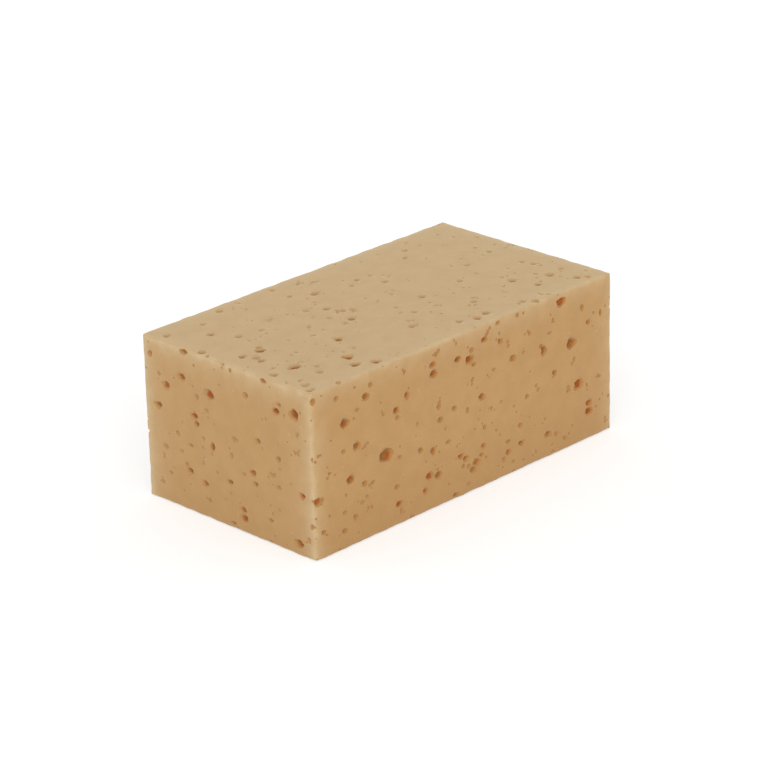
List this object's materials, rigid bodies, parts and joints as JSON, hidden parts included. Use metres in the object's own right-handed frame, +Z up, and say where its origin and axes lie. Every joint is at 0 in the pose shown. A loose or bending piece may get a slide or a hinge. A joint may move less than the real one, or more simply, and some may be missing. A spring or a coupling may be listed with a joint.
{
  "type": "grout sponge",
  "caption": "Rectangular block of flexible open-cell foam with burst cells on every face, wetted to wipe grout off tiles.",
  "frame": {"origin": "under the middle of the base, on the surface that the block rests on", "axes": "+X along the length, +Y across the width, +Z up through the height"},
  "size_m": [0.18, 0.1, 0.073],
  "materials": {
    "foam": "matt, open-cell foam"
  },
  "bodies": {
    "root": {"sponge": "foam"}
  },
  "joints": []
}
